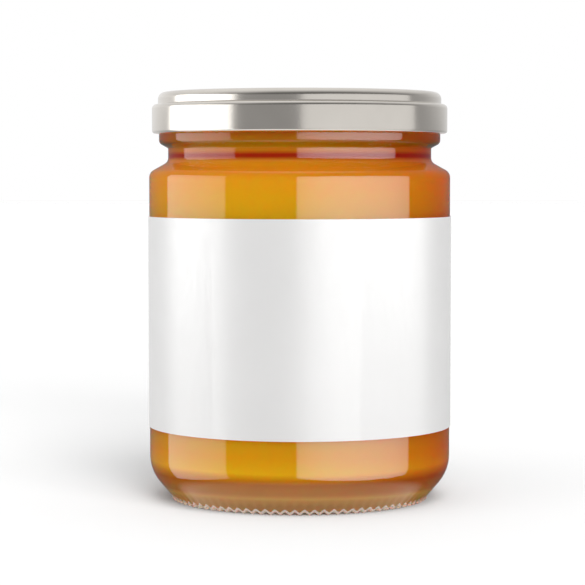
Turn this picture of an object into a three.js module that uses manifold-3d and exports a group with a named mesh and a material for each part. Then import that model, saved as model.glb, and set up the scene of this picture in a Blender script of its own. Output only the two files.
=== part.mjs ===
// A shut round jar of honey: clear glass jar, honey, twist-off metal lid and blank wrap label.
// Millimetres, +Z up. The origin is the centre of the base, on the surface the jar stands on.
// Every profile is a list of corners [radius, height, fillet], turned about the Z axis.

import * as THREE from 'three';
import { mergeVertices } from 'three/addons/utils/BufferGeometryUtils.js';
import Module from 'manifold-3d';

// Overall sizes
const HEIGHT = 116.8;
const BODY_RADIUS = 43.25;
const GLASS_WALL = 2.6;
const FITTING_GAP = 0.3;

// Base of the glass: push-up, standing ring and slanted heel
const PUSH_UP_HEIGHT = 3;
const PUSH_UP_RADIUS = 27;
const PUSH_UP_FALL = 0.4;
const PUSH_UP_FILLET = 5;
const RING_HEIGHT = 0.8;
const RING_INNER_RADIUS = 31.4;
const RING_OUTER_RADIUS = 36.85;
const HEEL_HEIGHT = 8.3;
const HEEL_FILLET = 11.5;
const FLOOR_HEIGHT = 6;
const FLOOR_CROWN = 1.2;
const FLOOR_FILLET = 8;

// Radial ridges under the standing ring
const RIDGE_COUNT = 86;
const RIDGE_ROOT_WIDTH = 1.9;
const RIDGE_CREST_WIDTH = 0.8;
const RIDGE_INNER_RADIUS = 32;
const RIDGE_OUTER_RADIUS = 36.7;
const RIDGE_BEDDING = 0.3;

// Shoulder, neck and mouth of the glass
const SHOULDER_HEIGHT = 93.85;
const SHOULDER_FILLET = 2.5;
const SHOULDER_SLOPE = THREE.MathUtils.degToRad(29.3);
const NECK_RADIUS = 37.8;
const NECK_FILLET = 2;
const BEAD_RADIUS = 40.4;
const BEAD_FOOT_HEIGHT = 100.8;
const BEAD_EDGE_HEIGHT = 102.2;
const BEAD_TOP_HEIGHT = 105.5;
const BEAD_FILLET = 1.6;
const BEAD_TOP_FILLET = 0.8;
const FINISH_RADIUS = 39.2;
const MOUTH_RADIUS = 35.3;
const RIM_HEIGHT = 115.7;
const RIM_FILLET = 1.6;

// Honey, filled past the lower edge of the lid
const HONEY_LEVEL = 108.2;

// Lid: sheet metal with a recessed panel, a raised ring, a stepped skirt and a rolled edge
const SHEET = 0.6;
const LID_RADIUS = 42.4;
const LID_BOTTOM = 105;
const LID_STEP_HEIGHT = 113.35;
const LID_STEP_FILLET = 1.3;
const LID_RING_RADIUS = 40.65;
const LID_RING_FILLET = 2;
const PANEL_RADIUS = 33.2;
const PANEL_STEP_WIDTH = 0.8;
const PANEL_DROP = 0.9;
const CURL_WIDTH = 1.6;
const CURL_HEIGHT = 1.8;
const CURL_FILLET = 0.8;

// Fineness of the turned surfaces
const TURN_SEGMENTS = 64;
const TURN_STEP = (2 * Math.PI) / TURN_SEGMENTS;
const ARC_STEP = THREE.MathUtils.degToRad(30);

// Label: a paper band round the straight wall, whose ends leave a strip of glass bare behind
const LABEL_BOTTOM = 21.1;
const LABEL_TOP = 81.3;
const LABEL_GAP = 0.1;
const LABEL_THICKNESS = 0.2;
const LABEL_BARE_STEPS = 2;
const LABEL_START = Math.PI / 2 + 3 * TURN_STEP;

// Points of one rounded corner: the arc that touches both of its sides
function roundCorner(before, corner, after, fillet) {
  const toBefore = before.clone().sub(corner).normalize();
  const toAfter = after.clone().sub(corner).normalize();
  const turn = Math.PI - Math.acos(THREE.MathUtils.clamp(toBefore.dot(toAfter), -1, 1));
  const reach = fillet * Math.tan(turn / 2);
  const start = corner.clone().addScaledVector(toBefore, reach);
  const towardsCentre = toBefore.clone().add(toAfter).normalize();
  const centre = corner.clone().addScaledVector(towardsCentre, fillet / Math.cos(turn / 2));
  const side = Math.sign(-toBefore.cross(toAfter));
  const steps = Math.max(1, Math.round(turn / ARC_STEP));
  const points = [];
  for (let i = 0; i <= steps; i += 1) {
    points.push(start.clone().rotateAround(centre, (side * turn * i) / steps));
  }
  return points;
}

// Profile points from corners, with each fillet as an arc
function profilePoints(corners) {
  const places = corners.map(([radius, height]) => new THREE.Vector2(radius, height));
  return corners.flatMap(([, , fillet], i) => (
    fillet ? roundCorner(places[i - 1], places[i], places[i + 1], fillet) : [places[i]]
  ));
}

// Solid turned about the Z axis from a profile that starts and ends on the axis
function turned(corners) {
  const geometry = new THREE.LatheGeometry(profilePoints(corners), TURN_SEGMENTS);
  geometry.rotateX(Math.PI / 2);
  return geometry;
}

// Height of the sloping shoulder above or below its outer corner, at a radius
function shoulderHeight(radius) {
  return SHOULDER_HEIGHT + (BODY_RADIUS - radius) * Math.tan(SHOULDER_SLOPE);
}

// Outside of the glass, from under the base up to the mouth
function glassOutside() {
  return [
    [0, PUSH_UP_HEIGHT],
    [PUSH_UP_RADIUS, PUSH_UP_HEIGHT - PUSH_UP_FALL, PUSH_UP_FILLET],
    [RING_INNER_RADIUS, RING_HEIGHT],
    [RING_OUTER_RADIUS, RING_HEIGHT],
    [BODY_RADIUS, HEEL_HEIGHT, HEEL_FILLET],
    [BODY_RADIUS, SHOULDER_HEIGHT, SHOULDER_FILLET],
    [NECK_RADIUS, shoulderHeight(NECK_RADIUS), NECK_FILLET],
    [NECK_RADIUS, BEAD_FOOT_HEIGHT],
    [BEAD_RADIUS, BEAD_EDGE_HEIGHT, BEAD_FILLET],
    [BEAD_RADIUS, BEAD_TOP_HEIGHT, BEAD_TOP_FILLET],
    [FINISH_RADIUS, BEAD_TOP_HEIGHT],
    [FINISH_RADIUS, RIM_HEIGHT, RIM_FILLET],
  ];
}

// Inside of the glass, from the floor up to the neck, set back by a gap
function cavity(gap) {
  const wall = BODY_RADIUS - GLASS_WALL - gap;
  const mouth = MOUTH_RADIUS - gap;
  const underShoulder = (GLASS_WALL + gap) / Math.cos(SHOULDER_SLOPE);
  return [
    [0, FLOOR_HEIGHT + FLOOR_CROWN + gap],
    [wall, FLOOR_HEIGHT + gap, FLOOR_FILLET],
    [wall, shoulderHeight(wall) - underShoulder, SHOULDER_FILLET],
    [mouth, shoulderHeight(mouth) - underShoulder, NECK_FILLET + GLASS_WALL],
  ];
}

// One ridge: a bar with slanted sides whose crest touches the ground, bedded in the ring
function ridgeGeometry() {
  const root = RIDGE_ROOT_WIDTH / 2;
  const crest = RIDGE_CREST_WIDTH / 2;
  const section = new THREE.Shape();
  section.moveTo(-crest, 0);
  section.lineTo(crest, 0);
  section.lineTo(root, RING_HEIGHT + RIDGE_BEDDING);
  section.lineTo(-root, RING_HEIGHT + RIDGE_BEDDING);
  section.closePath();
  const length = RIDGE_OUTER_RADIUS - RIDGE_INNER_RADIUS;
  const geometry = new THREE.ExtrudeGeometry(section, { depth: length, bevelEnabled: false });
  geometry.rotateX(Math.PI / 2);
  geometry.translate(0, -RIDGE_INNER_RADIUS, 0);
  return geometry;
}

const wasm = await Module();
wasm.setup();

// Solid for joining, from a closed geometry
function toSolid(geometry) {
  const bare = geometry.clone();
  bare.deleteAttribute('normal');
  bare.deleteAttribute('uv');
  const merged = mergeVertices(bare, 1e-3);
  return new wasm.Manifold(new wasm.Mesh({
    numProp: 3,
    vertProperties: new Float32Array(merged.attributes.position.array),
    triVerts: new Uint32Array(withoutSlivers(merged.index.array)),
  }));
}

// Triangles with three different corners, which leaves out those pinched on the axis
function withoutSlivers(indices) {
  const kept = [];
  for (let i = 0; i < indices.length; i += 3) {
    const [a, b, c] = indices.slice(i, i + 3);
    if (a !== b && b !== c && c !== a) {
      kept.push(a, b, c);
    }
  }
  return kept;
}

// Geometry from a joined solid
function toGeometry(solid) {
  const { vertProperties, triVerts } = solid.getMesh();
  const geometry = new THREE.BufferGeometry();
  geometry.setAttribute('position', new THREE.BufferAttribute(vertProperties, 3));
  geometry.setIndex(new THREE.BufferAttribute(triVerts, 1));
  geometry.computeVertexNormals();
  return geometry;
}

function glassJar() {
  const inside = cavity(0).reverse();
  const rim = [MOUTH_RADIUS, RIM_HEIGHT, RIM_FILLET];
  let solid = toSolid(turned([...glassOutside(), rim, ...inside]));
  const ridge = ridgeGeometry();
  for (let i = 0; i < RIDGE_COUNT; i += 1) {
    const turn = (2 * Math.PI * i) / RIDGE_COUNT;
    solid = solid.add(toSolid(ridge.clone().rotateZ(turn)));
  }
  return toGeometry(solid);
}

function honey() {
  const mouth = MOUTH_RADIUS - FITTING_GAP;
  return turned([...cavity(FITTING_GAP), [mouth, HONEY_LEVEL], [0, HONEY_LEVEL]]);
}

function lid() {
  const panelTop = HEIGHT - PANEL_DROP;
  const ringInner = PANEL_RADIUS + PANEL_STEP_WIDTH;
  const curlInner = LID_RADIUS - CURL_WIDTH;
  const skirtInner = LID_RADIUS - SHEET;
  return turned([
    [0, panelTop - SHEET],
    [PANEL_RADIUS + SHEET / 2, panelTop - SHEET],
    [ringInner + SHEET / 2, HEIGHT - SHEET],
    [LID_RING_RADIUS - SHEET, HEIGHT - SHEET, LID_RING_FILLET - SHEET],
    [LID_RING_RADIUS - SHEET, LID_STEP_HEIGHT - SHEET],
    [skirtInner, LID_STEP_HEIGHT - SHEET, LID_STEP_FILLET - SHEET],
    [skirtInner, LID_BOTTOM + CURL_HEIGHT],
    [curlInner, LID_BOTTOM + CURL_HEIGHT],
    [curlInner, LID_BOTTOM, CURL_FILLET],
    [LID_RADIUS, LID_BOTTOM, CURL_FILLET],
    [LID_RADIUS, LID_STEP_HEIGHT, LID_STEP_FILLET],
    [LID_RING_RADIUS, LID_STEP_HEIGHT],
    [LID_RING_RADIUS, HEIGHT, LID_RING_FILLET],
    [ringInner, HEIGHT],
    [PANEL_RADIUS, panelTop],
    [0, panelTop],
  ]);
}

function label() {
  const inner = BODY_RADIUS + LABEL_GAP;
  const outer = inner + LABEL_THICKNESS;
  const steps = TURN_SEGMENTS - LABEL_BARE_STEPS;
  const end = LABEL_START + steps * TURN_STEP;
  const outline = new THREE.Shape();
  outline.absarc(0, 0, outer, LABEL_START, end, false);
  outline.absarc(0, 0, inner, end, LABEL_START, true);
  const depth = LABEL_TOP - LABEL_BOTTOM;
  const geometry = new THREE.ExtrudeGeometry(outline, {
    depth,
    bevelEnabled: false,
    curveSegments: steps / 2,
  });
  geometry.translate(0, 0, LABEL_BOTTOM);
  return geometry;
}

function piece(name, geometry, look) {
  const mesh = new THREE.Mesh(geometry, new THREE.MeshStandardMaterial(look));
  mesh.name = name;
  return mesh;
}

const jar = new THREE.Group();
jar.add(
  piece('glass_jar', glassJar(), {
    color: 0xe6edee,
    roughness: 0.05,
    metalness: 0,
    transparent: true,
    opacity: 0.35,
  }),
  piece('honey', honey(), { color: 0xd38a1c, roughness: 0.15, metalness: 0 }),
  piece('lid', lid(), { color: 0xc9c4bd, roughness: 0.35, metalness: 1 }),
  piece('label', label(), { color: 0xf3f2ef, roughness: 0.5, metalness: 0 }),
);

export default jar;
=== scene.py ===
# Looks of a shut round jar of honey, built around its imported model.
# Metres, +Z up, with the origin at the centre of the base. The front faces -Y.

import math

import bpy
import bmesh
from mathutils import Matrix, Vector


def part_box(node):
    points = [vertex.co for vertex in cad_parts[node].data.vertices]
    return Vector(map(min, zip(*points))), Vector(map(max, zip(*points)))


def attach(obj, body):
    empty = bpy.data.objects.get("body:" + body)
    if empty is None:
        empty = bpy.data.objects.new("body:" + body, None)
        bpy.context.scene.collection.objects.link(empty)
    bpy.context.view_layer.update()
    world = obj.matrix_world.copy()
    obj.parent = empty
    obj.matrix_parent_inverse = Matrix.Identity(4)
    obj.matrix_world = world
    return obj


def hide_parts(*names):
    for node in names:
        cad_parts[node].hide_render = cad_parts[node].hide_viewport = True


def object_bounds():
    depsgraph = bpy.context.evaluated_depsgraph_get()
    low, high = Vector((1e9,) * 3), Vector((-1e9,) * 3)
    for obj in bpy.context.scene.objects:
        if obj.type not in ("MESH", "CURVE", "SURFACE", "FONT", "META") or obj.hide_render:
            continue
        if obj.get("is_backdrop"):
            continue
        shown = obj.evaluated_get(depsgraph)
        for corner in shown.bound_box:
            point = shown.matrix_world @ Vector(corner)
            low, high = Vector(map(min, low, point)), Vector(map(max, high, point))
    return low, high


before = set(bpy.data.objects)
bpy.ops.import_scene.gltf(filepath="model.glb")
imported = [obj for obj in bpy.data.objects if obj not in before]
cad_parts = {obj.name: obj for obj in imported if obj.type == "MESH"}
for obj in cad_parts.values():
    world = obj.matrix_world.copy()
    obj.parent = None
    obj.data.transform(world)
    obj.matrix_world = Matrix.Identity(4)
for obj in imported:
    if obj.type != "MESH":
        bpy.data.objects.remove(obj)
cad_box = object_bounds()

MM = 0.001

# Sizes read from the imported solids
GLASS_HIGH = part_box("glass_jar")[1]
LID_LOW, LID_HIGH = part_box("lid")
LABEL_LOW, LABEL_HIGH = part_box("label")
HONEY_LOW, HONEY_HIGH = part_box("honey")
BODY_RADIUS = GLASS_HIGH.x
RIM_HEIGHT = GLASS_HIGH.z
LID_RADIUS = LID_HIGH.x

# Glass
GLASS_WALL = 2.6 * MM
PUSH_UP_HEIGHT = 3.0 * MM
PUSH_UP_RADIUS = 27.0 * MM
PUSH_UP_FALL = 0.4 * MM
PUSH_UP_FILLET = 5.0 * MM
RING_HEIGHT = 0.8 * MM
RING_INNER_RADIUS = 31.4 * MM
RING_OUTER_RADIUS = 36.85 * MM
RING_FILLET = 0.4 * MM
HEEL_HEIGHT = 8.3 * MM
HEEL_FILLET = 11.5 * MM
FLOOR_HEIGHT = 6.0 * MM
FLOOR_CROWN = 1.2 * MM
FLOOR_FILLET = 8.0 * MM
SHOULDER_HEIGHT = 93.85 * MM
SHOULDER_FILLET = 2.5 * MM
SHOULDER_SLOPE = math.radians(29.3)
NECK_RADIUS = 37.8 * MM
NECK_FILLET = 2.0 * MM
BEAD_RADIUS = 40.4 * MM
BEAD_FOOT_HEIGHT = 100.8 * MM
BEAD_FOOT_FILLET = 0.5 * MM
BEAD_EDGE_HEIGHT = 102.2 * MM
BEAD_TOP_HEIGHT = 105.5 * MM
BEAD_FILLET = 1.6 * MM
BEAD_TOP_FILLET = 0.8 * MM
FINISH_RADIUS = 39.2 * MM
MOUTH_RADIUS = 35.3 * MM
RIM_FILLET = 1.6 * MM

# Ridges under the standing ring
RIDGE_COUNT = 86
RIDGE_INNER_RADIUS = 31.9 * MM
RIDGE_OUTER_RADIUS = 37.3 * MM
RIDGE_FADE = 0.7 * MM
RING_ROWS = 14
SKIN_HEIGHT = 1.4 * MM
SKIN_WAVE = 0.42 * MM
SKIN_FADE = 0.25 * MM

# Honey
HONEY_BITE = 0.08 * MM
HONEY_EDGE = 0.6 * MM

# Lid
SHEET = 0.6 * MM
LID_STEP_HEIGHT = 113.35 * MM
LID_STEP_FILLET = 1.3 * MM
LID_GROOVE_FILLET = 0.25 * MM
LID_RING_RADIUS = 40.65 * MM
LID_RING_FILLET = 2.0 * MM
PANEL_RADIUS = 33.2 * MM
PANEL_STEP_WIDTH = 0.8 * MM
PANEL_DROP = 0.9 * MM
PANEL_FILLET = 0.4 * MM
CURL_WIDTH = 1.6 * MM
CURL_HEIGHT = 1.8 * MM
CURL_FILLET = 0.8 * MM

# Label
LABEL_THICKNESS = 0.2 * MM
TURN_STEP = 2 * math.pi / 64
LABEL_START = math.pi / 2 + 3 * TURN_STEP
LABEL_TURN = 62 * TURN_STEP

# Fineness of the turned surfaces
GLASS_SEGMENTS = RIDGE_COUNT * 8
TURN_SEGMENTS = 256
ARC_STEP = math.radians(9)
SHARP_ANGLE = math.radians(32)

# Range that most of a noise's values lie in
NOISE_LOW = 0.3
NOISE_HIGH = 0.7

# Honey's colour by height, partly painted shade and light. The deep red band in the neck stands in for
# the lid's shadow. The darker band over the heel stands in for shade on its downward faces. The shoulder
# is made less yellow to temper its stronger light, and the paler bottom is painted light. Elsewhere it
# is the honey's own amber.
HONEY_TINTS_AND_PAINTED_SHADING = [
    (6.0 * MM, (0.66, 0.68, 0.230)),
    (6.4 * MM, (0.50, 0.42, 0.130)),
    (6.8 * MM, (0.40, 0.29, 0.070)),
    (9.1 * MM, (0.33, 0.17, 0.004)),
    (10.4 * MM, (0.56, 0.33, 0.010)),
    (11.8 * MM, (0.95, 0.57, 0.021)),
    (16.0 * MM, (0.94, 0.46, 0.014)),
    (30.0 * MM, (0.95, 0.44, 0.015)),
    (88.0 * MM, (0.94, 0.53, 0.018)),
    (94.8 * MM, (0.95, 0.46, 0.032)),
    (96.5 * MM, (0.95, 0.39, 0.035)),
    (98.2 * MM, (0.46, 0.025, 0.002)),
    (98.9 * MM, (0.46, 0.025, 0.002)),
    (100.0 * MM, (0.84, 0.26, 0.012)),
    (103.5 * MM, (0.84, 0.28, 0.014)),
]

# Studio light. Angles are in degrees: azimuth from the front towards +X, elevation from level.
JAR_MIDDLE = 0.06
SOFTBOX_DISTANCE = 2.0
SOFTBOX_EDGE = 0.08
SOFTBOX_LOW = -31.0
SOFTBOX_HIGH = 23.0
# Azimuth, half width, strength and falloff of each piece's left and right softbox
GLASS_SOFTBOXES = [(-88.0, 32.0, 2.6, 0.3), (44.0, 47.5, 4.8, 0.5)]
LID_SOFTBOXES = [(-86.0, 34.5, 1.8, 0.3), (50.0, 50.0, 0.51, 0.0)]
LABEL_SOFTBOXES = [(-84.0, 28.0, 11.0, 0.3), (55.0, 53.0, 12.0, 0.35)]
DIFFUSE_LIGHT = 0.8
FLOOR_KEYS = [
    (0.0, 90.0, 150.0, 4.1, (1.0, 1.0, 1.0)),
    (20.0, 50.0, 40.0, 6.8, (1.0, 1.0, 1.0)),
    (12.0, 12.0, 30.0, 13.9, (1.0, 1.0, 1.0)),
    (-40.0, 45.0, 60.0, 2.3, (1.0, 1.0, 1.0)),
]
LID_SKY = [(-90.0, 1.0), (-40.0, 1.0), (-31.0, 0.34), (8.0, 0.34), (22.0, 0.13), (90.0, 0.19)]
GLASS_SKY = [(-90.0, 1.0), (-40.0, 1.0), (-31.0, 0.08), (55.0, 0.08), (70.0, 0.9), (90.0, 1.0)]
BACK_GLOWS = [(-160.0, 55.0, 95.0, (0.75, 0.75, 0.75))]
GLASS_BACK_SHARE = 0.27
SEE_THROUGH_AMBIENT = 0.5
AMBER_AMBIENT = (1.5, 0.0, 0.0)
HONEY_KEYS = [
    (-18.0, 7.0, 40.0, 2.15, (0.66, 1.0, 0.5)),
    (180.0, 10.0, 90.0, 2.1, (0.66, 1.0, 0.5)),
]
# Amber that the floor glows with for rays from the honey alone: a painted glow, not a lamp
AMBER_FLOOR_GLOW = (0.95, 0.55, 0.17)
FLOOR_TONE = (0.204, 0.204, 0.204)
BLACK = (0.0, 0.0, 0.0)

# Camera, worked out from the curved edges of label and lid in the photo
PICTURE_SIDE = 585
FOCAL_PIXELS = 2244.7
CAMERA_DISTANCE = 0.6475
CAMERA_HEIGHT = 0.09443
CAMERA_PITCH = math.radians(3.112)
AXIS_PIXEL_X = 299.65
SENSOR_WIDTH = 36.0


def round_corner(before, corner, after, fillet):
    """Points of the arc that touches both sides of a corner."""
    to_before = (before - corner).normalized()
    to_after = (after - corner).normalized()
    turn = math.pi - to_before.angle(to_after)
    start = corner + to_before * fillet * math.tan(turn / 2)
    centre = corner + (to_before + to_after).normalized() * fillet / math.cos(turn / 2)
    side = -math.copysign(1, to_before.x * to_after.y - to_before.y * to_after.x)
    steps = max(2, math.ceil(turn / ARC_STEP))
    points = []
    for i in range(steps + 1):
        angle = side * turn * i / steps
        c, s = math.cos(angle), math.sin(angle)
        arm = start - centre
        points.append(centre + Vector((c * arm.x - s * arm.y, s * arm.x + c * arm.y)))
    return points


def rounded(corners, closed=False):
    """Profile points from corners (radius, height, fillet), with each fillet as an arc."""
    places = [Vector(corner[:2]) for corner in corners]
    last = len(corners) - 1
    points = []
    for i, corner in enumerate(corners):
        fillet = corner[2] if len(corner) > 2 else 0
        if fillet and (closed or 0 < i < last):
            after = places[i + 1] if i < last else places[0]
            points += round_corner(places[i - 1], places[i], after, fillet)
        else:
            points.append(places[i])
    return points


def mesh_object(name, vertices, faces):
    """Smooth object from points and faces, with its normals pointing out."""
    mesh = bpy.data.meshes.new(name)
    mesh.from_pydata(vertices, [], faces)
    shell = bmesh.new()
    shell.from_mesh(mesh)
    bmesh.ops.recalc_face_normals(shell, faces=shell.faces)
    shell.to_mesh(mesh)
    shell.free()
    mesh.shade_smooth()
    mesh.set_sharp_from_angle(angle=SHARP_ANGLE)
    piece = bpy.data.objects.new(name, mesh)
    bpy.context.scene.collection.objects.link(piece)
    return piece


def turned(name, points, segments):
    """Closed solid turned about the Z axis from a profile that starts and ends on the axis."""
    vertices, rings = [], []
    for point in points:
        first = len(vertices)
        if point.x < 1e-7:
            vertices.append((0, 0, point.y))
            rings.append([first] * segments)
            continue
        for i in range(segments):
            angle = 2 * math.pi * i / segments
            vertices.append((point.x * math.cos(angle), point.x * math.sin(angle), point.y))
        rings.append(list(range(first, first + segments)))
    faces = []
    for low, high in zip(rings, rings[1:]):
        for i in range(segments):
            j = (i + 1) % segments
            corners = [low[i], low[j], high[j], high[i]]
            faces.append(list(dict.fromkeys(corners)))
    return mesh_object(name, vertices, faces)


def shoulder_height(radius):
    """Height of the shoulder's slope at a radius."""
    return SHOULDER_HEIGHT + (BODY_RADIUS - radius) * math.tan(SHOULDER_SLOPE)


def cavity(reach=0.0):
    """Inside of the glass from the floor up to the neck, moved into the wall by a reach."""
    wall = BODY_RADIUS - GLASS_WALL + reach
    mouth = MOUTH_RADIUS + reach
    under_shoulder = (GLASS_WALL - reach) / math.cos(SHOULDER_SLOPE)
    return [
        (0, FLOOR_HEIGHT + FLOOR_CROWN - reach),
        (wall, FLOOR_HEIGHT - reach, FLOOR_FILLET),
        (wall, shoulder_height(wall) - under_shoulder, SHOULDER_FILLET),
        (mouth, shoulder_height(mouth) - under_shoulder, NECK_FILLET + GLASS_WALL),
    ]


def glass_profile():
    ring = [
        (RING_INNER_RADIUS + (RING_OUTER_RADIUS - RING_INNER_RADIUS) * i / RING_ROWS, RING_HEIGHT)
        for i in range(1, RING_ROWS)
    ]
    return rounded([
        (0, PUSH_UP_HEIGHT),
        (PUSH_UP_RADIUS, PUSH_UP_HEIGHT - PUSH_UP_FALL, PUSH_UP_FILLET),
        (RING_INNER_RADIUS, RING_HEIGHT, RING_FILLET / 2),
        *ring,
        (RING_OUTER_RADIUS, RING_HEIGHT, RING_FILLET / 2),
        (RING_OUTER_RADIUS + 0.4 * MM, RING_HEIGHT + 0.47 * MM),
        (BODY_RADIUS, HEEL_HEIGHT, HEEL_FILLET),
        (BODY_RADIUS, SHOULDER_HEIGHT, SHOULDER_FILLET),
        (NECK_RADIUS, shoulder_height(NECK_RADIUS), NECK_FILLET),
        (NECK_RADIUS, BEAD_FOOT_HEIGHT, BEAD_FOOT_FILLET),
        (BEAD_RADIUS, BEAD_EDGE_HEIGHT, BEAD_FILLET),
        (BEAD_RADIUS, BEAD_TOP_HEIGHT, BEAD_TOP_FILLET),
        (FINISH_RADIUS, BEAD_TOP_HEIGHT, BEAD_FOOT_FILLET),
        (FINISH_RADIUS, RIM_HEIGHT, RIM_FILLET),
        (MOUTH_RADIUS, RIM_HEIGHT, RIM_FILLET),
        *reversed(cavity()),
    ])


def honey_profile():
    mouth = MOUTH_RADIUS + HONEY_BITE
    level = HONEY_HIGH.z
    return rounded([
        *cavity(HONEY_BITE),
        (mouth, level, HONEY_EDGE / 4),
        (mouth - HONEY_EDGE, level - HONEY_EDGE / 2, HONEY_EDGE),
        (0, level - HONEY_EDGE / 2),
    ])


def lid_profile():
    height = LID_HIGH.z
    bottom = LID_LOW.z
    panel_top = height - PANEL_DROP
    ring_inner = PANEL_RADIUS + PANEL_STEP_WIDTH
    curl_inner = LID_RADIUS - CURL_WIDTH
    skirt_inner = LID_RADIUS - SHEET
    inside_step = LID_STEP_HEIGHT - SHEET
    return rounded([
        (0, panel_top - SHEET),
        (PANEL_RADIUS + SHEET / 2, panel_top - SHEET, PANEL_FILLET),
        (ring_inner + SHEET / 2, height - SHEET, PANEL_FILLET),
        (LID_RING_RADIUS - SHEET, height - SHEET, LID_RING_FILLET - SHEET),
        (LID_RING_RADIUS - SHEET, inside_step, LID_GROOVE_FILLET),
        (skirt_inner, inside_step, LID_STEP_FILLET - SHEET),
        (skirt_inner, bottom + CURL_HEIGHT, LID_GROOVE_FILLET),
        (curl_inner, bottom + CURL_HEIGHT, LID_GROOVE_FILLET),
        (curl_inner, bottom, CURL_FILLET * 0.98),
        (LID_RADIUS, bottom, CURL_FILLET),
        (LID_RADIUS, LID_STEP_HEIGHT, LID_STEP_FILLET),
        (LID_RING_RADIUS, LID_STEP_HEIGHT, LID_GROOVE_FILLET),
        (LID_RING_RADIUS, height, LID_RING_FILLET),
        (ring_inner, height, PANEL_FILLET),
        (PANEL_RADIUS, panel_top, PANEL_FILLET),
        (0, panel_top),
    ])


def label_band():
    """Paper band with rounded cut edges, open at the back, lying on the glass."""
    outer = LABEL_HIGH.x
    inner = BODY_RADIUS
    edge = 0.04 * MM
    section = rounded([
        (inner, LABEL_LOW.z, 0),
        (outer, LABEL_LOW.z, edge),
        (outer, LABEL_HIGH.z, edge),
        (inner, LABEL_HIGH.z, 0),
    ], closed=True)
    count = len(section)
    vertices, faces = [], []
    for i in range(TURN_SEGMENTS + 1):
        angle = LABEL_START + LABEL_TURN * i / TURN_SEGMENTS
        for point in section:
            vertices.append((point.x * math.cos(angle), point.x * math.sin(angle), point.y))
    for i in range(TURN_SEGMENTS):
        for j in range(count):
            k = (j + 1) % count
            faces.append((i * count + j, i * count + k, (i + 1) * count + k, (i + 1) * count + j))
    faces.append(tuple(range(count)))
    faces.append(tuple(TURN_SEGMENTS * count + j for j in range(count)))
    return mesh_object("blank_label", vertices, faces)


def add_node(tree, kind, inputs=None, **settings):
    """Node with its settings and input values or links."""
    node = tree.nodes.new(kind)
    for name, value in settings.items():
        setattr(node, name, value)
    for key, value in (inputs or {}).items():
        if isinstance(value, bpy.types.NodeSocket):
            tree.links.new(value, node.inputs[key])
        else:
            node.inputs[key].default_value = value
    return node


def maths(tree, operation, *values):
    """Result of a Math node."""
    return add_node(tree, "ShaderNodeMath", dict(enumerate(values)), operation=operation).outputs[0]


def vector_maths(tree, operation, *values):
    """Result of a Vector Math node."""
    node = add_node(tree, "ShaderNodeVectorMath", dict(enumerate(values)), operation=operation)
    return node.outputs["Value" if operation == "DOT_PRODUCT" else "Vector"]


def ridge_tree():
    """Geometry Nodes: radial ridges pressed down from the flat standing ring."""
    tree = bpy.data.node_groups.new("standing_ring_ridges", "GeometryNodeTree")
    face = tree.interface
    face.new_socket("Geometry", in_out="INPUT", socket_type="NodeSocketGeometry")
    sizes = {
        "Ridges": RIDGE_COUNT,
        "Depth": RING_HEIGHT,
        "Inner Radius": RIDGE_INNER_RADIUS,
        "Outer Radius": RIDGE_OUTER_RADIUS,
        "Fade": RIDGE_FADE,
        "Top": 3 * RING_HEIGHT,
    }
    for name, value in sizes.items():
        socket = face.new_socket(name, in_out="INPUT", socket_type="NodeSocketFloat")
        socket.default_value = value
    face.new_socket("Material", in_out="INPUT", socket_type="NodeSocketMaterial")
    face.new_socket("Geometry", in_out="OUTPUT", socket_type="NodeSocketGeometry")
    given = tree.nodes.new("NodeGroupInput").outputs
    place = add_node(tree, "GeometryNodeInputPosition").outputs[0]
    parts = add_node(tree, "ShaderNodeSeparateXYZ", {0: place}).outputs
    angle = maths(tree, "ARCTAN2", parts["X"], maths(tree, "MULTIPLY", parts["Y"], -1.0))
    radius = maths(
        tree, "SQRT",
        maths(tree, "ADD", maths(tree, "POWER", parts["X"], 2.0), maths(tree, "POWER", parts["Y"], 2.0)),
    )
    wave = maths(tree, "COSINE", maths(tree, "MULTIPLY", angle, given["Ridges"]))
    crest = maths(tree, "ADD", maths(tree, "MULTIPLY", wave, 0.5), 0.5)

    def ramp(value, start, end):
        return add_node(
            tree, "ShaderNodeMapRange",
            {"Value": value, "From Min": start, "From Max": end},
            interpolation_type="SMOOTHSTEP",
        ).outputs[0]

    inner_end = maths(tree, "ADD", given["Inner Radius"], given["Fade"])
    outer_start = maths(tree, "SUBTRACT", given["Outer Radius"], given["Fade"])
    inside = ramp(radius, given["Inner Radius"], inner_end)
    outside = maths(tree, "SUBTRACT", 1.0, ramp(radius, outer_start, given["Outer Radius"]))
    below = maths(tree, "LESS_THAN", parts["Z"], given["Top"])
    depth = maths(tree, "MULTIPLY", maths(tree, "MULTIPLY", inside, outside), below)
    drop = maths(tree, "MULTIPLY", maths(tree, "MULTIPLY", depth, crest), given["Depth"])
    offset = add_node(tree, "ShaderNodeCombineXYZ", {"Z": maths(tree, "MULTIPLY", drop, -1.0)})
    moved = add_node(
        tree, "GeometryNodeSetPosition",
        {"Geometry": given["Geometry"], "Offset": offset.outputs[0]},
    )
    real = add_node(tree, "GeometryNodeRealizeInstances", {"Geometry": moved.outputs[0]})
    dressed = add_node(
        tree, "GeometryNodeSetMaterial",
        {"Geometry": real.outputs[0], "Material": given["Material"]},
    )
    result = tree.nodes.new("NodeGroupOutput")
    tree.links.new(dressed.outputs[0], result.inputs[0])
    return tree


def press_ridges(piece, material):
    """Runs the ridge tree on the glass and keeps its result as a plain mesh."""
    tree = ridge_tree()
    modifier = piece.modifiers.new("ridges", "NODES")
    modifier.node_group = tree
    for item in tree.interface.items_tree:
        if item.in_out == "INPUT" and item.name == "Material":
            modifier[item.identifier] = material
    depsgraph = bpy.context.evaluated_depsgraph_get()
    mesh = bpy.data.meshes.new_from_object(piece.evaluated_get(depsgraph))
    piece.modifiers.clear()
    piece.data = mesh
    return piece


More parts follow.
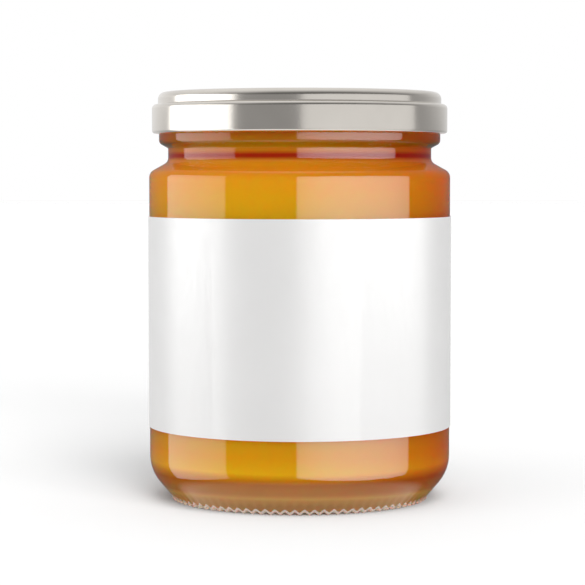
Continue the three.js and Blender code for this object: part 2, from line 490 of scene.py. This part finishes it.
def new_material(name):
    """Material with its node tree and its Principled shader."""
    material = bpy.data.materials.new(name)
    material.use_nodes = True
    tree = material.node_tree
    tree.nodes.clear()
    shader = tree.nodes.new("ShaderNodeBsdfPrincipled")
    output = tree.nodes.new("ShaderNodeOutputMaterial")
    tree.links.new(shader.outputs[0], output.inputs["Surface"])
    return material, tree, shader


def unevenness_group():
    """Shader node group: noise on Object coordinates, stretched and put into a range."""
    tree = bpy.data.node_groups.new("surface_unevenness", "ShaderNodeTree")
    face = tree.interface
    for name, kind, value in (
        ("Scale", "Float", 50.0),
        ("Detail", "Float", 2.0),
        ("Stretch", "Vector", (1.0, 1.0, 1.0)),
        ("Low", "Float", 0.0),
        ("High", "Float", 1.0),
    ):
        socket = face.new_socket(name, in_out="INPUT", socket_type="NodeSocket" + kind)
        socket.default_value = value
    face.new_socket("Value", in_out="OUTPUT", socket_type="NodeSocketFloat")
    given = tree.nodes.new("NodeGroupInput").outputs
    place = add_node(tree, "ShaderNodeTexCoord").outputs["Object"]
    noise = add_node(tree, "ShaderNodeTexNoise", {
        "Vector": vector_maths(tree, "MULTIPLY", place, given["Stretch"]),
        "Scale": given["Scale"],
        "Detail": given["Detail"],
    }).outputs["Fac"]
    ranged = add_node(tree, "ShaderNodeMapRange", {
        "Value": noise,
        "From Min": NOISE_LOW,
        "From Max": NOISE_HIGH,
        "To Min": given["Low"],
        "To Max": given["High"],
    }).outputs[0]
    result = tree.nodes.new("NodeGroupOutput")
    tree.links.new(ranged, result.inputs["Value"])
    return tree


def uneven(tree, group, scale, detail=2.0, stretch=(1, 1, 1), low=0.0, high=1.0):
    """Unevenness of a material, from low to high."""
    return add_node(tree, "ShaderNodeGroup", {
        "Scale": scale, "Detail": detail, "Stretch": stretch, "Low": low, "High": high,
    }, node_tree=group).outputs["Value"]


def two_tone(tree, factor, first, second):
    """Colour between two colours."""
    mix = add_node(
        tree, "ShaderNodeMix",
        {0: factor, 6: (*first, 1), 7: (*second, 1)},
        data_type="RGBA",
    )
    return mix.outputs[2]


def relief(tree, shader, height, strength, distance):
    """Low relief on the shader's normal."""
    bump = add_node(
        tree, "ShaderNodeBump",
        {"Height": height, "Strength": strength, "Distance": distance},
    )
    tree.links.new(bump.outputs[0], shader.inputs["Normal"])


def set_values(shader, values):
    for name, value in values.items():
        shader.inputs[name].default_value = value


def moulded_edge(tree):
    """Share of the matt moulded skin that the ridges end in, brightest along its wavy upper edge."""
    place = add_node(tree, "ShaderNodeTexCoord").outputs["Object"]
    parts = add_node(tree, "ShaderNodeSeparateXYZ", {0: place}).outputs
    angle = maths(tree, "ARCTAN2", parts["X"], maths(tree, "MULTIPLY", parts["Y"], -1.0))
    wave = maths(tree, "COSINE", maths(tree, "MULTIPLY", angle, float(RIDGE_COUNT)))
    edge = maths(tree, "MULTIPLY_ADD", wave, -SKIN_WAVE, SKIN_HEIGHT)
    below = maths(tree, "SUBTRACT", edge, parts["Z"])
    skin = add_node(tree, "ShaderNodeMapRange", {"Value": below, "From Max": SKIN_FADE}).outputs[0]
    thinning = add_node(tree, "ShaderNodeMapRange", {
        "Value": below,
        "From Min": 2 * SKIN_FADE,
        "From Max": 4 * SKIN_FADE,
        "To Min": 1.0,
        "To Max": 0.5,
    }).outputs[0]
    return maths(tree, "MULTIPLY", skin, thinning)


def clear_glass(unevenness):
    material, tree, shader = new_material("clear_glass")
    set_values(shader, {
        "Base Color": (1, 1, 1, 1),
        "IOR": 1.5,
        "Roughness": 0.0,
        "Transmission Weight": 1.0,
        "Coat Roughness": 0.3,
        "Coat IOR": 4.0,
    })
    waves = uneven(tree, unevenness, 28.0, 1.0, (1, 1, 0.35))
    relief(tree, shader, waves, 0.03, 1.0 * MM)
    tree.links.new(moulded_edge(tree), shader.inputs["Coat Weight"])
    return material


def ramp(tree, value, stops):
    """Colour that follows a value through stops (value, colour)."""
    low, high = stops[0][0], stops[-1][0]
    share = add_node(
        tree, "ShaderNodeMapRange", {"Value": value, "From Min": low, "From Max": high}
    ).outputs[0]
    colours = add_node(tree, "ShaderNodeValToRGB", {"Fac": share})
    elements = colours.color_ramp.elements
    for i, (at, colour) in enumerate(stops):
        position = (at - low) / (high - low)
        element = elements[i] if i < 2 else elements.new(position)
        element.position = position
        element.color = (*colour, 1)
    return colours.outputs["Color"]


def amber_honey(unevenness):
    material, tree, shader = new_material("amber_honey")
    set_values(shader, {
        "IOR": 1.49,
        "Roughness": 0.3,
        "Specular IOR Level": 0.0,
        "Subsurface Weight": 1.0,
        "Subsurface Radius": (1.0, 0.05, 0.03),
        "Subsurface Scale": 80.0 * MM,
    })
    place = add_node(tree, "ShaderNodeTexCoord").outputs["Object"]
    height = add_node(tree, "ShaderNodeSeparateXYZ", {0: place}).outputs["Z"]
    # The height ramp paints shade and light into the honey's colour: deep red in the neck, darker over
    # the heel, paler at the very bottom
    tint = ramp(tree, height, HONEY_TINTS_AND_PAINTED_SHADING)
    cloud = uneven(tree, unevenness, 16.0, 2.0, (1, 1, 0.5), 0.98, 1.02)
    colour = vector_maths(tree, "MULTIPLY", tint, cloud)
    tree.links.new(colour, shader.inputs["Base Color"])
    return material


def satin_lid_metal(unevenness):
    material, tree, shader = new_material("satin_lid_metal")
    set_values(shader, {"Metallic": 1.0})
    grain = uneven(tree, unevenness, 900.0, 3.0)
    patches = uneven(tree, unevenness, 60.0)
    colour = two_tone(tree, patches, (0.70, 0.66, 0.61), (0.775, 0.735, 0.68))
    tree.links.new(colour, shader.inputs["Base Color"])
    tree.links.new(uneven(tree, unevenness, 60.0, low=0.15, high=0.21), shader.inputs["Roughness"])
    relief(tree, shader, grain, 0.05, 0.05 * MM)
    return material


def white_label_paper(unevenness):
    material, tree, shader = new_material("white_label_paper")
    set_values(shader, {"IOR": 1.5})
    fibres = uneven(tree, unevenness, 700.0, 4.0, (1, 1, 0.5))
    tone = uneven(tree, unevenness, 40.0)
    colour = two_tone(tree, tone, (0.775, 0.77, 0.765), (0.80, 0.795, 0.79))
    tree.links.new(colour, shader.inputs["Base Color"])
    roughness = uneven(tree, unevenness, 700.0, 4.0, (1, 1, 0.5), 0.34, 0.44)
    tree.links.new(roughness, shader.inputs["Roughness"])
    relief(tree, shader, fibres, 0.12, 0.05 * MM)
    return material


def dress(piece, material, node):
    """Gives a piece its material, ties it to the body and hides the CAD node it stands for."""
    piece.data.materials.clear()
    piece.data.materials.append(material)
    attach(piece, "root")
    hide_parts(node)


def lights_honey(tree, path):
    """Whether a ray left the honey through the glass, so that what it meets lights the honey."""
    from_inside = maths(tree, "GREATER_THAN", path["Diffuse Depth"], 0.5)
    return maths(tree, "MULTIPLY", path["Is Transmission Ray"], from_inside)


def studio_floor():
    """Pale floor, left out of reflections so that the lights show whole in the glass. For rays that come
    from the honey it turns black and glows amber instead, a painted glow that lights the honey from
    below.
    """
    side = 6.0
    floor = mesh_object(
        "studio_floor",
        [(-side, -side, 0), (side, -side, 0), (side, side, 0), (-side, side, 0)],
        [(0, 1, 2, 3)],
    )
    material, tree, shader = new_material("pale_floor")
    path = add_node(tree, "ShaderNodeLightPath").outputs
    amber = lights_honey(tree, path)
    tree.links.new(two_tone(tree, amber, FLOOR_TONE, BLACK), shader.inputs["Base Color"])
    # Painted glow: the floor is no lamp, but for rays from the honey it shines amber onto the honey
    tree.links.new(two_tone(tree, amber, BLACK, AMBER_FLOOR_GLOW), shader.inputs["Emission Color"])
    set_values(shader, {"Roughness": 0.9, "Emission Strength": 1.0})
    material.cycles.emission_sampling = "NONE"
    floor.data.materials.append(material)
    floor.visible_glossy = False
    floor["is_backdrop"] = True
    return floor


def glow(tree, direction, azimuth, elevation, reach):
    """Soft round patch of light in a direction, from 1 at its middle to 0 at its reach."""
    around = (
        math.sin(azimuth) * math.cos(elevation),
        -math.cos(azimuth) * math.cos(elevation),
        math.sin(elevation),
    )
    aligned = vector_maths(tree, "DOT_PRODUCT", direction, around)
    return add_node(
        tree, "ShaderNodeMapRange",
        {"Value": aligned, "From Min": math.cos(reach), "From Max": 1.0},
        interpolation_type="SMOOTHSTEP",
    ).outputs[0]


def glows(tree, direction, ambient, patches):
    """Even light with soft patches in it, each of its own colour."""
    total = ambient
    for azimuth, elevation, reach, colour in patches:
        patch = glow(
            tree, direction, math.radians(azimuth), math.radians(elevation), math.radians(reach)
        )
        total = vector_maths(tree, "MULTIPLY_ADD", patch, colour, total)
    return total


def switch(tree, factor, off, on):
    """One of two colours."""
    mix = add_node(tree, "ShaderNodeMix", {0: factor, 6: off, 7: on}, data_type="RGBA")
    return mix.outputs[2]


def grey(level):
    return (level, level, level, 1)


def sky(tree, direction, stops):
    """Grey level by elevation."""
    height = add_node(tree, "ShaderNodeSeparateXYZ", {0: direction}).outputs["Z"]
    elevation = maths(tree, "DEGREES", maths(tree, "ARCSINE", height))
    return ramp(tree, elevation, [(at, (level, level, level)) for at, level in stops])


def studio_world():
    """White backdrop for the camera, with a light of its own for each kind of ray."""
    world = bpy.data.worlds.new("studio")
    bpy.context.scene.world = world
    world.use_nodes = True
    world.cycles.sampling_method = "NONE"
    tree = world.node_tree
    tree.nodes.clear()
    direction = add_node(tree, "ShaderNodeTexCoord").outputs["Generated"]
    path = add_node(tree, "ShaderNodeLightPath").outputs
    back = glows(tree, direction, (0, 0, 0), BACK_GLOWS)
    on_lid = vector_maths(tree, "ADD", sky(tree, direction, LID_SKY), back)
    share = (GLASS_BACK_SHARE,) * 3
    on_glass = vector_maths(tree, "MULTIPLY_ADD", back, share, sky(tree, direction, GLASS_SKY))
    gloss = switch(tree, path["Is Singular Ray"], on_lid, on_glass)
    colour = switch(tree, path["Is Glossy Ray"], grey(DIFFUSE_LIGHT), gloss)
    colour = switch(tree, path["Is Transmission Ray"], colour, grey(SEE_THROUGH_AMBIENT))
    colour = switch(tree, path["Is Camera Ray"], colour, grey(1.0))
    colour = switch(tree, lights_honey(tree, path), colour, (*AMBER_AMBIENT, 1))
    light = add_node(tree, "ShaderNodeBackground", {"Color": colour})
    output = tree.nodes.new("ShaderNodeOutputWorld")
    tree.links.new(light.outputs[0], output.inputs["Surface"])


def softbox(name, azimuth, half_width, strength, falloff, receiver):
    """Rectangular softbox that shows in the gloss of one piece alone, brightest in its middle."""
    top = SOFTBOX_DISTANCE * math.tan(math.radians(SOFTBOX_HIGH))
    bottom = SOFTBOX_DISTANCE * math.tan(math.radians(SOFTBOX_LOW))
    height = top - bottom
    width = 2 * SOFTBOX_DISTANCE * math.tan(math.radians(half_width))
    data = bpy.data.lights.new(name, "AREA")
    data.shape = "RECTANGLE"
    data.size = width
    data.size_y = height
    data.energy = strength * math.pi * width * height
    data.use_nodes = True
    tree = data.node_tree
    tree.nodes.clear()
    place = add_node(tree, "ShaderNodeNewGeometry").outputs["Parametric"]
    parts = add_node(tree, "ShaderNodeSeparateXYZ", {0: place}).outputs
    across = maths(tree, "MULTIPLY_ADD", parts["X"], 2.0, -1.0)
    dimming = maths(tree, "MULTIPLY", maths(tree, "MULTIPLY", across, across), falloff)
    inside = maths(tree, "SUBTRACT", 1.0, maths(tree, "ABSOLUTE", across))
    edge = add_node(
        tree, "ShaderNodeMapRange", {"Value": inside, "From Max": SOFTBOX_EDGE},
        interpolation_type="SMOOTHSTEP",
    ).outputs[0]
    level = maths(tree, "MULTIPLY", edge, maths(tree, "SUBTRACT", 1.0, dimming))
    depth = add_node(tree, "ShaderNodeLightPath").outputs["Diffuse Depth"]
    level = maths(tree, "MULTIPLY", level, maths(tree, "LESS_THAN", depth, 0.5))
    light = add_node(tree, "ShaderNodeEmission", {"Color": (1, 1, 1, 1), "Strength": level})
    output = tree.nodes.new("ShaderNodeOutputLight")
    tree.links.new(light.outputs[0], output.inputs["Surface"])
    box = bpy.data.objects.new(name, data)
    turn = math.radians(azimuth)
    box.location = (
        SOFTBOX_DISTANCE * math.sin(turn),
        -SOFTBOX_DISTANCE * math.cos(turn),
        JAR_MIDDLE + (top + bottom) / 2,
    )
    box.rotation_euler = (math.pi / 2, 0, turn)
    box.visible_camera = False
    box.visible_diffuse = False
    box.visible_transmission = False
    box.visible_volume_scatter = False
    lit = bpy.data.collections.new(name)
    lit.objects.link(receiver)
    box.light_linking.receiver_collection = lit
    bpy.context.scene.collection.objects.link(box)


def key_light(azimuth, elevation, softness, strength, tint, receiver, blockers):
    """Wide soft light on one thing alone, shadowed by the blockers."""
    name = "key_on_" + receiver.name
    data = bpy.data.lights.new(name, "SUN")
    data.angle = math.radians(softness)
    data.energy = strength
    data.color = tint
    lamp = bpy.data.objects.new(name, data)
    lamp.rotation_euler = (math.pi / 2 - math.radians(elevation), 0, math.radians(azimuth))
    lamp.visible_glossy = False
    lamp.visible_transmission = False
    lit = bpy.data.collections.new(name)
    lit.objects.link(receiver)
    lamp.light_linking.receiver_collection = lit
    shading = bpy.data.collections.new(name + "_blockers")
    for blocker in blockers:
        shading.objects.link(blocker)
    lamp.light_linking.blocker_collection = shading
    bpy.context.scene.collection.objects.link(lamp)


def photo_camera():
    """Camera at the photograph's viewing angle."""
    data = bpy.data.cameras.new("photo_camera")
    data.sensor_width = SENSOR_WIDTH
    data.lens = FOCAL_PIXELS * SENSOR_WIDTH / PICTURE_SIDE
    data.shift_x = -(AXIS_PIXEL_X - PICTURE_SIDE / 2) / PICTURE_SIDE
    data.clip_start = 0.01
    data.clip_end = 50
    camera = bpy.data.objects.new("photo_camera", data)
    camera.location = (0, -CAMERA_DISTANCE, CAMERA_HEIGHT)
    camera.rotation_euler = (math.pi / 2 - CAMERA_PITCH, 0, 0)
    bpy.context.scene.collection.objects.link(camera)
    bpy.context.scene.camera = camera


photo_camera()
studio_world()
floor = studio_floor()
bpy.context.scene.view_settings.view_transform = "Standard"

unevenness = unevenness_group()
glass_material = clear_glass(unevenness)
jar_glass = press_ridges(turned("jar_glass", glass_profile(), GLASS_SEGMENTS), glass_material)
honey_fill = turned("honey_fill", honey_profile(), TURN_SEGMENTS)
twist_off_lid = turned("twist_off_lid", lid_profile(), TURN_SEGMENTS)
blank_label = label_band()

dress(jar_glass, glass_material, "glass_jar")
dress(honey_fill, amber_honey(unevenness), "honey")
dress(twist_off_lid, satin_lid_metal(unevenness), "lid")
dress(blank_label, white_label_paper(unevenness), "label")

opaque = [honey_fill, twist_off_lid, blank_label, floor]
for key in FLOOR_KEYS:
    key_light(*key, floor, [*opaque, jar_glass])
for key in HONEY_KEYS:
    key_light(*key, honey_fill, opaque)
for piece, boxes in (
    (jar_glass, GLASS_SOFTBOXES),
    (twist_off_lid, LID_SOFTBOXES),
    (blank_label, LABEL_SOFTBOXES),
):
    for side, box in zip(("left", "right"), boxes):
        softbox(side + "_softbox_on_" + piece.name, *box, piece)

boxes = {"cad": cad_box, "visual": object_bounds()}
